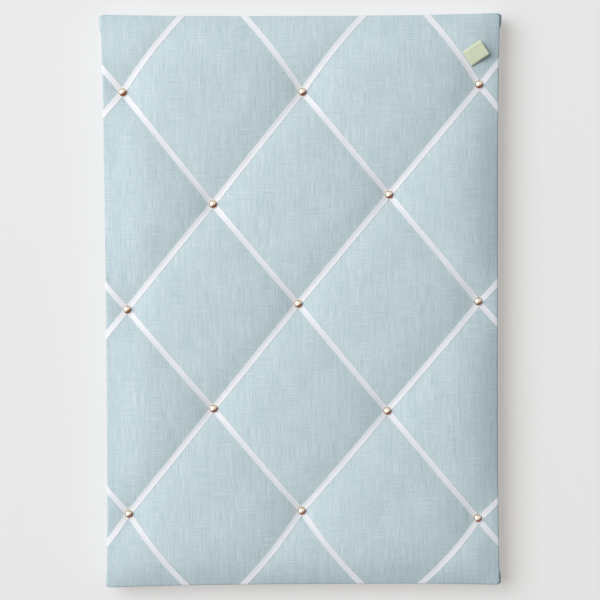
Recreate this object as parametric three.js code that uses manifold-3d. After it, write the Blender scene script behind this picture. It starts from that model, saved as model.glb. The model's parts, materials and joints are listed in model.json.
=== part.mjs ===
// French memo board: a fibreboard panel padded with wadding and covered in linen, crossed by satin
// ribbons that domed nails hold down at every crossing, so that notes slip in under the ribbons.
// Everything is laid out face up on the bench: x to the right, y up the board, z towards the viewer,
// with z = 0 on the rear face of the backing. The last group stands the board up, front towards -Y.
import * as THREE from 'three';
import { mergeVertices } from 'three/addons/utils/BufferGeometryUtils.js';
import Module from 'manifold-3d';

const wasm = await Module();
wasm.setup();

// Driving dimensions, in millimetres and degrees
const CLEARANCE = 0.3; // between pieces that lie on each other

const BOARD_WIDTH = 405;
const BOARD_HEIGHT = 589;
const BOARD_THICKNESS = 12;

const WADDING_AT_EDGE = 1.8; // drawn tight round the board's edges, at the middle of each side
const WADDING_AT_STUD = 2; // crushed under a stud
const RIBBON_RISE = 6.2; // how far the wadding lifts a ribbon between two studs
const CROWN = 4.3; // how far a diamond's middle stands above the ribbons round it
const SWELL = 3; // power of the swelling curve, higher is fuller near the ribbons
const EDGE_PULL = 0.9; // share of the swell that the linen, drawn round the edge, takes away there
const EDGE_REACH = 55; // how far in from the edge it is pulled down
const SIDE_FULLNESS = 4.2; // folded corners stand out past the middle of the long sides
const END_FULLNESS = 2.3; // and past the middle of the top and bottom
const FULLNESS_POWER = 3; // how late along a side the fullness comes

const COVER_THICKNESS = 0.8;
const COVER_TURN_IN = 42; // linen folded onto the back
const CORNER_RADIUS = 5;
const FRONT_ROLL = 5; // radius of the padded front edge
const BACK_ROLL = 2.4; // radius of the rear edge

const STUD_SIDE_MARGIN = 17.7; // board's long edge to the outer studs
const STUD_END_MARGIN = 73.5; // board's top and bottom edge to the outer studs
const STUD_DROP = 2; // the whole lattice sits a little low
const END_BOW = 3.6; // ribbons bow out past the end rows of studs, most halfway to the edge
const STUD_DIAMETER = 8.6;
const STUD_HEIGHT = 3.2;
const STUD_WALL = 0.5;
const STUD_SHANK_DIAMETER = 1.6;
const STUD_BITE = 9; // shank length in the board
const STUD_POINT = 2;

const RIBBON_WIDTH = 6;
const RIBBON_THICKNESS = 0.4;
const RIBBON_BED = 0.8; // flat bed each side of a ribbon
const RIBBON_TURN_IN = 22; // ribbon lying on the back
const RIBBON_SLANT = 0.25; // sideways run of a ribbon for each millimetre round the edge

const STAPLE_WIRE = 0.7;
const STAPLE_INSET = 14;
const STAPLE_BITE = 6; // leg length in the board
const STAPLE_PLAY = 0.5; // leg to ribbon

const BACKING_THICKNESS = 1.5;
const BACKING_INSET = 7;

const HANGER_MARGIN = 13.7; // the turned-in linen's edge to the middle of a hanger
const HANGER_DROP = 89.5; // board's top edge to the ring pins
const STRAP_WIDTH = 10;
const STRAP_GAUGE = 1;
const STRAP_TAIL = 23; // ring pin to the strap's round end
const STRAP_CURL = 205; // how far round the pin the strap's end curls past the flat
const RING_WIRE = 2;
const RING_WIDTH = 16; // between wire centres
const RING_LENGTH = 12.5;
const RING_CORNER = 2.5;
const RING_JOIN = 0.4; // butt gap of the bent wire, inside the curl
const SCREW_DROP = 17.5; // below the ring pin
const SCREW_DIAMETER = 3.2;
const SCREW_HEAD_DIAMETER = 6.4;
const SCREW_HEAD_HEIGHT = 1.9;
const SCREW_BITE = 8; // thread length in the board
const SCREW_POINT = 2;

const TAG_WIDTH = 17.5;
const TAG_LENGTH = 21;
const TAG_TAPE = 0.5; // thickness of the cotton tape
const TAG_FOLD_GAP = 0.3; // between the two leaves
const TAG_SEAM = 3; // where the leaves are sewn together
const TAG_DISTANCE = 27.5; // along its ribbon, from the stud to the tag's middle
const TAG_LIFT = 12; // the free end stands off the linen

// Studs are driven by eye. How far each one strays right and up from its lattice point, row by row. The
// first and last rows, and the first and last places of every other row, are where ribbons run off the edge.
const STRAYS = [
  [[-8, -7], [2, 9], [7, 8.5], [8, -9]],
  [[-0.5, 0.5], [1.5, 0], [0.5, 7]],
  [[-6, -0.5], [0, -5.5], [-1, 3.5], [13, -9.5]],
  [[2, -4.5], [-4, 0.5], [-0.5, 2]],
  [[3, -5.5], [-1, 1.5], [-3.5, -2], [24.5, -18]],
  [[1.5, 1.5], [-1.5, 3.5], [-1, -5.5]],
  [[1, -1], [-1, -1.5], [-1.5, -0.5], [4.5, 5.5]],
];
const LAST_ROW = 4;
const LAST_COLUMN = 4;

// Facets
const ROUND_SIDES = 12;
const HOLE_SIDES = 6;
const WIRE_SIDES = 8;
const LONG_SIDE_STEPS = 8;
const SHORT_SIDE_STEPS = 6;
const CORNER_STEPS = 2;
const RAMP_STEPS = 4;
const ROLL_STEPS = 3;
const HIDDEN_ROLL_STEPS = 2;
const RIBBON_ROLL_STEPS = 4;
const BACK_ROLL_STEPS = 2;
const HIDDEN_BACK_ROLL_STEPS = 1;
const DOME_STEPS = 4;
const CURL_STEPS = 8;
const RING_STEPS = 30;
const BACKING_STRIPS = 8;
const SHOULDER = 0.22; // share of a diamond, between a ribbon's bed and the middle
const HALVINGS = 40;
const MERGE_DISTANCE = 1e-4;
const LEAST_FACET = 0.4; // shortest facet along a ribbon
const SLAB_FLOOR = -5; // below everything the padded slab is cut with

const radians = THREE.MathUtils.degToRad;
const clamp01 = (value) => THREE.MathUtils.clamp(value, 0, 1);
const lerp = THREE.MathUtils.lerp;

// Levels above the bench, from the backing up to the stud heads
const backingFront = BACKING_THICKNESS;
const stapleLow = backingFront + CLEARANCE;
const ribbonBackLow = stapleLow + STAPLE_WIRE + CLEARANCE;
const coverBack = ribbonBackLow + RIBBON_THICKNESS + CLEARANCE;
const boardBack = coverBack + COVER_THICKNESS + CLEARANCE;
const boardFront = boardBack + BOARD_THICKNESS;
const waddingBase = boardFront + CLEARANCE;
const coverInner = waddingBase + CLEARANCE; // the linen's inner face where the wadding has no height
const coverOuter = coverInner + COVER_THICKNESS;
const ribbonLap = RIBBON_THICKNESS + CLEARANCE; // one ribbon passing over another
const studRim = coverOuter + WADDING_AT_STUD + CLEARANCE + 2 * ribbonLap;

// How much of the swell is left at an inset from the edge, the highest it can then stand, and the level
// where the edge begins to roll
const swellLeft = (inset) => 1 - EDGE_PULL * (1 - clamp01(inset / EDGE_REACH)) ** 2;
const highest = (inset) => coverOuter + WADDING_AT_STUD + (RIBBON_RISE + CROWN) * swellLeft(inset) + CLEARANCE;
const rollTop = highest(FRONT_ROLL);

// Half sizes of the covered board at the middle of its sides
const edgeBuildUp = CLEARANCE + WADDING_AT_EDGE + CLEARANCE + COVER_THICKNESS;
const halfWidth = BOARD_WIDTH / 2 + edgeBuildUp;
const halfHeight = BOARD_HEIGHT / 2 + edgeBuildUp;
const sideSpan = halfHeight + END_FULLNESS - CORNER_RADIUS;
const endSpan = halfWidth + SIDE_FULLNESS - CORNER_RADIUS;

// The lattice: rising ribbons run along a, falling ribbons along b, with a stud at whole numbers
const columnPitch = (BOARD_WIDTH - 2 * STUD_SIDE_MARGIN) / LAST_COLUMN;
const rowPitch = (BOARD_HEIGHT - 2 * STUD_END_MARGIN) / LAST_ROW;
const endRow = (STUD_END_MARGIN + edgeBuildUp) / rowPitch; // rows from the end studs to the edge
const ribbonPitch = (2 * columnPitch * rowPitch) / Math.hypot(columnPitch, rowPitch);
const ribbonHalf = RIBBON_WIDTH / 2 / ribbonPitch;
const bedHalf = (RIBBON_WIDTH / 2 + RIBBON_BED) / ribbonPitch;
const leastFacet = LEAST_FACET / ribbonPitch;
const cellSteps = [bedHalf, SHOULDER, 0.5, 1 - SHOULDER, 1 - bedHalf];

// Solids and meshes
function solidOf(geometry) {
  const bare = geometry.clone();
  for (const name of Object.keys(bare.attributes)) {
    if (name !== 'position') bare.deleteAttribute(name);
  }
  const merged = mergeVertices(bare, MERGE_DISTANCE);
  const vertProperties = Float32Array.from(merged.attributes.position.array);
  const triVerts = Uint32Array.from(merged.index.array);
  return new wasm.Manifold(new wasm.Mesh({ numProp: 3, vertProperties, triVerts }));
}

function geometryOf(solid) {
  const mesh = solid.getMesh();
  const geometry = new THREE.BufferGeometry();
  geometry.setAttribute('position', new THREE.Float32BufferAttribute(mesh.vertProperties, 3));
  geometry.setIndex(Array.from(mesh.triVerts));
  geometry.computeVertexNormals();
  return geometry;
}

function indexed(points, triangles) {
  const geometry = new THREE.BufferGeometry().setFromPoints(points);
  geometry.setIndex(triangles);
  geometry.computeVertexNormals();
  return geometry;
}

const cutAll = (solid, tools) => tools.reduce((rest, tool) => rest.subtract(tool), solid);

function block(x0, x1, y0, y1, z0, z1) {
  const geometry = new THREE.BoxGeometry(x1 - x0, y1 - y0, z1 - z0);
  return geometry.translate((x0 + x1) / 2, (y0 + y1) / 2, (z0 + z1) / 2);
}

function upright(radius, x, y, z0, z1) {
  const geometry = new THREE.CylinderGeometry(radius, radius, z1 - z0, HOLE_SIDES);
  return geometry.rotateX(Math.PI / 2).translate(x, y, (z0 + z1) / 2);
}

// A profile drawn in y and z, extruded across x about its middle
function extrudedAcross(shape, width) {
  const options = { depth: width, bevelEnabled: false, curveSegments: CURL_STEPS };
  const geometry = new THREE.ExtrudeGeometry(shape, options);
  geometry.translate(0, 0, -width / 2);
  const yzx = new THREE.Matrix4().makeBasis(
    new THREE.Vector3(0, 1, 0), new THREE.Vector3(0, 0, 1), new THREE.Vector3(1, 0, 0));
  return geometry.applyMatrix4(yzx);
}

const turned = (profile) => new THREE.LatheGeometry(profile, ROUND_SIDES).rotateX(Math.PI / 2);

function finish(name, color, roughness, metalness) {
  return new THREE.MeshStandardMaterial({ name, color, roughness, metalness });
}

const bench = new THREE.Group();

function place(name, geometry, material, parent = bench) {
  const mesh = new THREE.Mesh(geometry, material);
  mesh.name = name;
  parent.add(mesh);
  return mesh;
}

// The stud lattice, and the padded surface over it
function latticePoint(a, b) {
  const column = a + b;
  const row = b - a;
  const [right, up] = STRAYS[row + 1]?.[(column + 1) >> 1] ?? [0, 0];
  return new THREE.Vector2(
    (column - LAST_COLUMN / 2) * columnPitch + right,
    (LAST_ROW / 2 - row) * rowPitch - STUD_DROP + up);
}

// How far up the lattice bows past the end rows: nothing at the studs and at the edge, most halfway
function endBow(row) {
  const above = clamp01(-row / endRow);
  const below = clamp01((row - LAST_ROW) / endRow);
  return 4 * END_BOW * (above * (1 - above) - below * (1 - below));
}

function latticeMap(a, b) {
  const a0 = Math.floor(a);
  const b0 = Math.floor(b);
  const low = latticePoint(a0, b0).lerp(latticePoint(a0 + 1, b0), a - a0);
  const high = latticePoint(a0, b0 + 1).lerp(latticePoint(a0 + 1, b0 + 1), a - a0);
  const spot = low.lerp(high, b - b0);
  spot.y += endBow(b - a);
  return spot;
}

// 0 on the bed of a ribbon, 1 midway between two ribbons
function awayFromRibbon(t) {
  return clamp01((Math.abs(t - Math.round(t)) - bedHalf) / (0.5 - bedHalf));
}

function paddingHeight(a, b) {
  const slackA = (1 - awayFromRibbon(a)) ** SWELL;
  const slackB = (1 - awayFromRibbon(b)) ** SWELL;
  const swell = RIBBON_RISE * (1 - slackA * slackB) + CROWN * (1 - slackA) * (1 - slackB);
  const { x, y } = latticeMap(a, b);
  return WADDING_AT_STUD + swell * swellLeft(sideEdge(y) - Math.abs(x)) * swellLeft(endEdge(x) - Math.abs(y));
}

// The lattice lines that the padded surface is faceted on
function facetLines(first, last) {
  const lines = [];
  for (let cell = first; cell < last; cell += 1) {
    for (const step of cellSteps) lines.push(cell + step);
  }
  return lines;
}

// A slab over the whole lattice, flat underneath, with the padded surface on top
function paddedSlab(level) {
  const reach = LAST_ROW / 2 + 1;
  const line = facetLines(-reach, reach);
  const count = line.length;
  const points = [];
  for (const floor of [false, true]) {
    for (const a of line) {
      for (const along of line) {
        const b = along + LAST_ROW / 2;
        const spot = latticeMap(a, b);
        points.push(new THREE.Vector3(spot.x, spot.y, floor ? SLAB_FLOOR : level + paddingHeight(a, b)));
      }
    }
  }
  const under = count * count;
  const triangles = [];
  for (let i = 0; i < count - 1; i += 1) {
    for (let j = 0; j < count - 1; j += 1) {
      const near = i * count + j;
      const far = near + count;
      triangles.push(near, near + 1, far + 1, near, far + 1, far);
      triangles.push(under + near, under + far + 1, under + near + 1);
      triangles.push(under + near, under + far, under + far + 1);
    }
  }
  const wall = (from, to) => triangles.push(from, to, under + to, from, under + to, under + from);
  for (let k = 0; k < count - 1; k += 1) {
    const last = (count - 1) * count;
    wall(k + 1, k);
    wall(last + k, last + k + 1);
    wall(k * count, (k + 1) * count);
    wall((k + 2) * count - 1, (k + 1) * count - 1);
  }
  return solidOf(indexed(points, triangles));
}

// The covered board's outline: sides that are drawn in between fuller corners
const fullnessAt = (distance, span) => Math.min(Math.abs(distance) / span, 1) ** FULLNESS_POWER;
const sideEdge = (y) => halfWidth + SIDE_FULLNESS * fullnessAt(y, sideSpan);
const endEdge = (x) => halfHeight + END_FULLNESS * fullnessAt(x, endSpan);

function outline(inset) {
  const cornerX = endSpan - inset;
  const cornerY = sideSpan - inset;
  const quarter = [];
  for (let k = 0; k <= LONG_SIDE_STEPS / 2; k += 1) {
    const y = (cornerY * k) / (LONG_SIDE_STEPS / 2);
    quarter.push([sideEdge(y) - inset, y]);
  }
  for (let k = 1; k < CORNER_STEPS; k += 1) {
    const turn = (Math.PI / 2) * (k / CORNER_STEPS);
    quarter.push([
      lerp(cornerX, sideEdge(cornerY) - inset, Math.cos(turn)),
      lerp(cornerY, endEdge(cornerX) - inset, Math.sin(turn)),
    ]);
  }
  for (let k = SHORT_SIDE_STEPS / 2; k >= 0; k -= 1) {
    const x = (cornerX * k) / (SHORT_SIDE_STEPS / 2);
    quarter.push([x, endEdge(x) - inset]);
  }
  const back = quarter.slice(1, -1).reverse();
  const upper = [...quarter, ...back.map(([x, y]) => [-x, y])];
  const lower = [[-quarter[0][0], 0], ...upper.slice(1).map(([x, y]) => [-x, -y])];
  return [...upper, ...lower].map(([x, y]) => new THREE.Vector2(x, y));
}

// Points round the edge, as inset from the outline and level, grown outwards by a distance
function frontRoll(turn, grow) {
  const radius = FRONT_ROLL + grow;
  return [FRONT_ROLL - radius * Math.sin(turn), rollTop - FRONT_ROLL + radius * Math.cos(turn)];
}

function backRoll(turn, grow) {
  const radius = BACK_ROLL + grow;
  return [BACK_ROLL - radius * Math.cos(turn), coverBack + BACK_ROLL - radius * Math.sin(turn)];
}

function rolledBlock(grow, frontSteps, backSteps) {
  const stations = [];
  for (let k = 0; k < RAMP_STEPS; k += 1) {
    const inset = lerp(EDGE_REACH, FRONT_ROLL, k / RAMP_STEPS);
    stations.push([inset, highest(inset) + grow]);
  }
  for (let k = 0; k <= frontSteps; k += 1) {
    stations.push(frontRoll((Math.PI / 2) * (k / frontSteps), grow));
  }
  for (let k = 0; k <= backSteps; k += 1) {
    stations.push(backRoll((Math.PI / 2) * (k / backSteps), grow));
  }
  const ring = ([inset, level]) => outline(inset).map(({ x, y }) => new THREE.Vector3(x, y, level));
  const rings = stations.map(ring);
  const count = rings[0].length;
  const triangles = [];
  for (let level = 0; level < rings.length - 1; level += 1) {
    for (let k = 0; k < count; k += 1) {
      const upper = level * count + k;
      const upperNext = level * count + ((k + 1) % count);
      triangles.push(upper, upper + count, upperNext + count, upper, upperNext + count, upperNext);
    }
  }
  const last = (rings.length - 1) * count;
  const faces = (station) => THREE.ShapeUtils.triangulateShape(outline(station[0]), []);
  for (const [a, b, c] of faces(stations[0])) triangles.push(a, b, c);
  for (const [a, b, c] of faces(stations.at(-1))) triangles.push(last + a, last + c, last + b);
  return solidOf(indexed(rings.flat(), triangles));
}

// Ribbons. Each has two rails that follow the linen's bed over the front, round the edges and onto the
// back.
const rising = Array.from({ length: LAST_ROW + 1 }, (_, k) => ({
  name: `ribbon_rising_${k + 1}`,
  lattice: (t, off) => [t, k + off],
  from: -(LAST_ROW / 2 - Math.abs(k - LAST_ROW / 2)),
  to: LAST_ROW / 2 - Math.abs(k - LAST_ROW / 2),
  laps: true,
}));
const falling = Array.from({ length: LAST_ROW + 1 }, (_, k) => ({
  name: `ribbon_falling_${k + 1}`,
  lattice: (t, off) => [k - LAST_ROW / 2 - off, t],
  from: Math.abs(k - LAST_ROW / 2),
  to: LAST_ROW - Math.abs(k - LAST_ROW / 2),
  laps: false,
}));

// Which edge a spot is nearest to, how far inside it, and how far along it
function nearestEdge(spot) {
  const fromSide = sideEdge(spot.y) - Math.abs(spot.x);
  const fromEnd = endEdge(spot.x) - Math.abs(spot.y);
  if (fromSide < fromEnd) return { side: true, sign: Math.sign(spot.x), inset: fromSide, along: spot.y };
  return { side: false, sign: Math.sign(spot.y), inset: fromEnd, along: spot.x };
}

function edgePoint(edge, along, inset, level) {
  if (edge.side) return new THREE.Vector3(edge.sign * (sideEdge(along) - inset), along, level);
  return new THREE.Vector3(along, edge.sign * (endEdge(along) - inset), level);
}

function rollLevel(inset) {
  if (inset > FRONT_ROLL) return highest(inset);
  return rollTop - FRONT_ROLL + Math.sqrt(FRONT_ROLL ** 2 - (FRONT_ROLL - inset) ** 2);
}

// The linen's level along a ribbon's rail, straight between the facets' lines
function railLevel(ribbon, side, t) {
  const lines = facetLines(Math.floor(t) - 1, Math.floor(t) + 2);
  const next = lines.findIndex((line) => line > t);
  const [low, high] = [lines[next - 1], lines[next]];
  const height = (at) => paddingHeight(...ribbon.lattice(at, side * ribbonHalf));
  return coverOuter + lerp(height(low), height(high), (t - low) / (high - low));
}

// Where a ribbon's rail runs off the padded front onto the rolled edge, found by halving
function runOff(ribbon, side, stud, step) {
  let inside = stud;
  let outside = stud + step;
  for (let round = 0; round < HALVINGS; round += 1) {
    const middle = (inside + outside) / 2;
    const { inset } = nearestEdge(latticeMap(...ribbon.lattice(middle, side * ribbonHalf)));
    const clear = inset > 0 && railLevel(ribbon, side, middle) < rollLevel(inset);
    if (clear) inside = middle;
    else outside = middle;
  }
  const edge = nearestEdge(latticeMap(...ribbon.lattice(inside, side * ribbonHalf)));
  const level = railLevel(ribbon, side, inside);
  const turn = Math.acos(clamp01((level - rollTop + FRONT_ROLL) / FRONT_ROLL));
  return { t: inside, edge, level, turn };
}

// One end of a ribbon: where it leaves the front, and its straight run round the edge to the back
function ribbonEnd(ribbon, stud, step) {
  const rails = [-1, 1].map((side) => runOff(ribbon, side, stud, step));
  const edge = rails[0].edge;
  const middle = (rails[0].edge.along + rails[1].edge.along) / 2;
  const studSpot = latticeMap(...ribbon.lattice(stud, 0));
  const heading = Math.sign(middle - (edge.side ? studSpot.y : studSpot.x));
  const half = (RIBBON_WIDTH / 2) * Math.hypot(1, RIBBON_SLANT);
  const alongAt = (run) => middle + heading * RIBBON_SLANT * run;
  const sideRun = rollTop - FRONT_ROLL - coverBack - BACK_ROLL;
  const backRun = sideRun + (Math.PI / 2) * BACK_ROLL;
  const staple = { edge, along: alongAt(backRun + STAPLE_INSET - BACK_ROLL) };
  const stations = rails.map((rail) => {
    const across = half * Math.sign(rail.edge.along - middle);
    const round = (grow) => {
      const mitre = grow * Math.tan(rail.turn / 2);
      const points = [edgePoint(edge, rail.edge.along, rail.edge.inset - mitre, rail.level + grow)];
      for (let k = 1; k <= RIBBON_ROLL_STEPS; k += 1) {
        const share = k / RIBBON_ROLL_STEPS;
        const along = lerp(rail.edge.along, alongAt(0) + across, share);
        points.push(edgePoint(edge, along, ...frontRoll(lerp(rail.turn, Math.PI / 2, share), grow)));
      }
      for (let k = 0; k <= BACK_ROLL_STEPS; k += 1) {
        const share = k / BACK_ROLL_STEPS;
        const along = alongAt(lerp(sideRun, backRun, share)) + across;
        points.push(edgePoint(edge, along, ...backRoll((Math.PI / 2) * share, grow)));
      }
      const endAlong = alongAt(backRun + RIBBON_TURN_IN - BACK_ROLL) + across;
      points.push(edgePoint(edge, endAlong, RIBBON_TURN_IN, coverBack - grow));
      return points;
    };
    return { under: round(CLEARANCE), over: round(CLEARANCE + RIBBON_THICKNESS) };
  });
  return { stations, staple, t: rails.map((rail) => rail.t) };
}

function ribbonFront(ribbon, low, high) {
  const stops = [];
  const first = Math.max(...low.t);
  const last = Math.min(...high.t);
  for (const t of facetLines(Math.floor(first), Math.ceil(last))) {
    if (t > first + leastFacet && t < last - leastFacet) stops.push(t);
  }
  return [-1, 1].map((side) => {
    const rail = (grow) => stops.map((t) => {
      const cell = ribbon.lattice(t, side * ribbonHalf);
      const spot = latticeMap(...cell);
      const fromStud = Math.abs(t - Math.round(t));
      const lap = ribbon.laps ? ribbonLap * clamp01((SHOULDER - fromStud) / (SHOULDER - bedHalf)) : 0;
      return new THREE.Vector3(spot.x, spot.y, coverOuter + paddingHeight(...cell) + lap + grow);
    });
    return { under: rail(CLEARANCE), over: rail(CLEARANCE + RIBBON_THICKNESS) };
  });
}

// A closed strip, its faces split along the same diagonals as the linen under it
function ribbonSolid(ribbon, low, high) {
  const front = ribbonFront(ribbon, low, high);
  const line = (side, face) => [
    ...low.stations[side][face].slice().reverse(), ...front[side][face], ...high.stations[side][face]];
  const lines = [line(0, 'under'), line(1, 'under'), line(1, 'over'), line(0, 'over')];
  const count = lines[0].length;
  const triangles = [];
  for (let k = 0; k < count - 1; k += 1) {
    for (let edge = 0; edge < 4; edge += 1) {
      const here = edge * count + k;
      const next = ((edge + 1) % 4) * count + k;
      if (ribbon.laps) triangles.push(here, next + 1, next, here, here + 1, next + 1);
      else triangles.push(here, here + 1, next, here + 1, next + 1, next);
    }
  }
  const cap = (k, a, b, c) => triangles.push(a * count + k, b * count + k, c * count + k);
  cap(0, 0, 1, 2);
  cap(0, 0, 2, 3);
  cap(count - 1, 0, 2, 1);
  cap(count - 1, 0, 3, 2);
  return solidOf(indexed(lines.flat(), triangles));
}

// Finishes
const fibreboard = finish('fibreboard', 0x9a7a52, 0.9, 0);
const waddingFibre = finish('wadding', 0xf1f0ec, 1, 0);
const linen = finish('linen', 0xb4cad2, 0.95, 0);
const satin = finish('satin', 0xe6e4ea, 0.45, 0);
const brass = finish('brass', 0xb98f5c, 0.25, 1);
const steel = finish('steel', 0xb9bcc0, 0.35, 1);
const card = finish('backing', 0x947554, 0.85, 0);
const cotton = finish('cotton', 0xe1dcbe, 0.9, 0);

// Studs: hollow domed heads pressed from sheet, each with a pointed shank
const studSpots = [];
for (let row = 0; row <= LAST_ROW; row += 1) {
  for (let column = row % 2; column <= LAST_COLUMN; column += 2) {
    const spot = latticePoint((column - row) / 2, (column + row) / 2);
    studSpots.push({ name: `stud_${row + 1}_${(column - (row % 2)) / 2 + 1}`, spot });
  }
}
const shankEnd = boardFront - STUD_BITE - studRim;

function studGeometry() {
  const rim = STUD_DIAMETER / 2;
  const shank = STUD_SHANK_DIAMETER / 2;
  const profile = [new THREE.Vector2(0, shankEnd), new THREE.Vector2(shank, shankEnd + STUD_POINT)];
  const inner = rim - STUD_WALL;
  const crown = STUD_HEIGHT - STUD_WALL;
  const dome = (radius, height, turn) => new THREE.Vector2(radius * Math.cos(turn), height * Math.sin(turn));
  const shankTurn = Math.acos(shank / inner);
  for (let k = 0; k < DOME_STEPS - 1; k += 1) {
    profile.push(dome(inner, crown, shankTurn * (1 - k / (DOME_STEPS - 2))));
  }
  for (let k = 0; k < DOME_STEPS; k += 1) {
    profile.push(dome(rim, STUD_HEIGHT, (Math.PI / 2) * (k / DOME_STEPS)));
  }
  profile.push(new THREE.Vector2(0, STUD_HEIGHT));
  return turned(profile);
}

for (const { name, spot } of studSpots) {
  place(name, studGeometry(), brass).position.set(spot.x, spot.y, studRim);
}

const shankHole = STUD_SHANK_DIAMETER / 2 + CLEARANCE;
const studHoles = studSpots.map(({ spot }) => solidOf(
  upright(shankHole, spot.x, spot.y, boardFront - STUD_BITE - CLEARANCE, studRim)));

// Ribbons and the staples that hold their ends on the back
const stapleInner = (RIBBON_WIDTH / 2) * Math.hypot(1, RIBBON_SLANT) + STAPLE_PLAY;
const stapleOuter = stapleInner + STAPLE_WIRE;
const stapleLegs = boardBack + STAPLE_BITE - stapleLow;

function stapleGeometry() {
  const shape = new THREE.Shape();
  shape.moveTo(-stapleOuter, 0);
  shape.lineTo(stapleOuter, 0);
  shape.lineTo(stapleOuter, stapleLegs);
  shape.lineTo(stapleInner, stapleLegs);
  shape.lineTo(stapleInner, STAPLE_WIRE);
  shape.lineTo(-stapleInner, STAPLE_WIRE);
  shape.lineTo(-stapleInner, stapleLegs);
  shape.lineTo(-stapleOuter, stapleLegs);
  const geometry = new THREE.ExtrudeGeometry(shape, { depth: STAPLE_WIRE, bevelEnabled: false });
  return geometry.translate(0, 0, -STAPLE_WIRE / 2);
}

const stapleHoles = [];
function addStaple(name, { edge, along }) {
  const run = edge.side ? new THREE.Vector3(0, 1, 0) : new THREE.Vector3(1, 0, 0);
  const into = new THREE.Vector3(0, 0, 1);
  const spot = edgePoint(edge, along, STAPLE_INSET, stapleLow);
  const staple = place(name, stapleGeometry(), steel);
  staple.position.copy(spot);
  staple.setRotationFromMatrix(new THREE.Matrix4().makeBasis(run, into, run.clone().cross(into)));
  const hole = STAPLE_WIRE / 2 + CLEARANCE;
  const holeEnd = boardBack + STAPLE_BITE + CLEARANCE;
  for (const sign of [-1, 1]) {
    const { x, y } = spot.clone().addScaledVector(run, sign * (stapleOuter - STAPLE_WIRE / 2));
    stapleHoles.push(solidOf(block(x - hole, x + hole, y - hole, y + hole, stapleLow, holeEnd)));
  }
}

for (const ribbon of [...rising, ...falling]) {
  const low = ribbonEnd(ribbon, ribbon.from, -1);
  const high = ribbonEnd(ribbon, ribbon.to, 1);
  const strip = cutAll(ribbonSolid(ribbon, low, high), studHoles);
  place(ribbon.name, geometryOf(strip), satin);
  addStaple(`${ribbon.name}_staple_1`, low.staple);
  addStaple(`${ribbon.name}_staple_2`, high.staple);
}

// Hangers: a strap curled round the pin of a D ring, held by one screw
const hangerReach = halfWidth - COVER_TURN_IN - HANGER_MARGIN;
const pinHeight = BOARD_HEIGHT / 2 - HANGER_DROP;
const pinRadius = RING_WIRE / 2;
const curlInner = pinRadius + CLEARANCE;
const curlOuter = curlInner + STRAP_GAUGE;
const screwHole = SCREW_DIAMETER / 2 + CLEARANCE;

function strapGeometry() {
  const side = new THREE.Shape();
  const flat = -Math.PI / 2;
  const end = flat + radians(90 + STRAP_CURL);
  side.moveTo(-STRAP_TAIL, 0);
  side.lineTo(0, 0);
  side.absarc(0, curlOuter, curlOuter, flat, end, false);
  side.absarc(0, curlOuter, curlInner, end, flat, true);
  side.lineTo(-STRAP_TAIL, STRAP_GAUGE);
  const folded = solidOf(extrudedAcross(side, STRAP_WIDTH));

  const half = STRAP_WIDTH / 2;
  const plan = new THREE.Shape();
  plan.moveTo(half, curlOuter + STRAP_GAUGE);
  plan.lineTo(-half, curlOuter + STRAP_GAUGE);
  plan.lineTo(-half, half - STRAP_TAIL);
  plan.absarc(0, half - STRAP_TAIL, half, Math.PI, 2 * Math.PI, false);
  const tall = 2 * curlOuter + 2 * STRAP_GAUGE;
  const options = { depth: tall, bevelEnabled: false, curveSegments: ROUND_SIDES / 2 };
  const blank = new THREE.ExtrudeGeometry(plan, options);
  blank.translate(0, 0, -STRAP_GAUGE);
  const hole = solidOf(upright(screwHole, 0, -SCREW_DROP, -STRAP_GAUGE, 2 * STRAP_GAUGE));
  return geometryOf(folded.intersect(solidOf(blank)).subtract(hole));
}

// The ring's wire, from the middle of the pin round the bow and back, hanging towards -y
function ringGeometry() {
  const half = RING_WIDTH / 2;
  const bow = RING_LENGTH - RING_CORNER;
  const path = new THREE.CurvePath();
  const at = (x, y) => new THREE.Vector3(x, y, 0);
  path.add(new THREE.LineCurve3(at(RING_JOIN / 2, 0), at(half - RING_CORNER, 0)));
  path.add(new THREE.QuadraticBezierCurve3(at(half - RING_CORNER, 0), at(half, 0), at(half, -RING_CORNER)));
  const round = (4 / 3) * (Math.SQRT2 - 1); // makes a Bezier curve a quarter of an ellipse
  const low = at(0, -RING_LENGTH);
  const shoulder = -RING_CORNER - round * bow;
  path.add(new THREE.CubicBezierCurve3(
    at(half, -RING_CORNER), at(half, shoulder), at(round * half, -RING_LENGTH), low));
  path.add(new THREE.CubicBezierCurve3(
    low, at(-round * half, -RING_LENGTH), at(-half, shoulder), at(-half, -RING_CORNER)));
  path.add(new THREE.QuadraticBezierCurve3(at(-half, -RING_CORNER), at(-half, 0), at(RING_CORNER - half, 0)));
  path.add(new THREE.LineCurve3(at(RING_CORNER - half, 0), at(-RING_JOIN / 2, 0)));
  const wire = new THREE.Shape();
  wire.absarc(0, 0, pinRadius, 0, 2 * Math.PI, false);
  const options = { steps: RING_STEPS, extrudePath: path, curveSegments: WIRE_SIDES / 2 };
  return new THREE.ExtrudeGeometry(wire, options);
}

const screwShank = CLEARANCE + STRAP_GAUGE + CLEARANCE + boardBack + SCREW_BITE;

function screwGeometry() {
  const shank = SCREW_DIAMETER / 2;
  const head = SCREW_HEAD_DIAMETER / 2;
  const profile = [new THREE.Vector2(0, -screwShank), new THREE.Vector2(shank, SCREW_POINT - screwShank)];
  profile.push(new THREE.Vector2(shank, 0), new THREE.Vector2(head, 0));
  for (let k = 1; k < DOME_STEPS - 1; k += 1) {
    const turn = (Math.PI / 2) * (k / (DOME_STEPS - 1));
    profile.push(new THREE.Vector2(head * Math.sqrt(Math.cos(turn)), SCREW_HEAD_HEIGHT * Math.sin(turn)));
  }
  profile.push(new THREE.Vector2(0, SCREW_HEAD_HEIGHT));
  return turned(profile);
}

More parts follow.
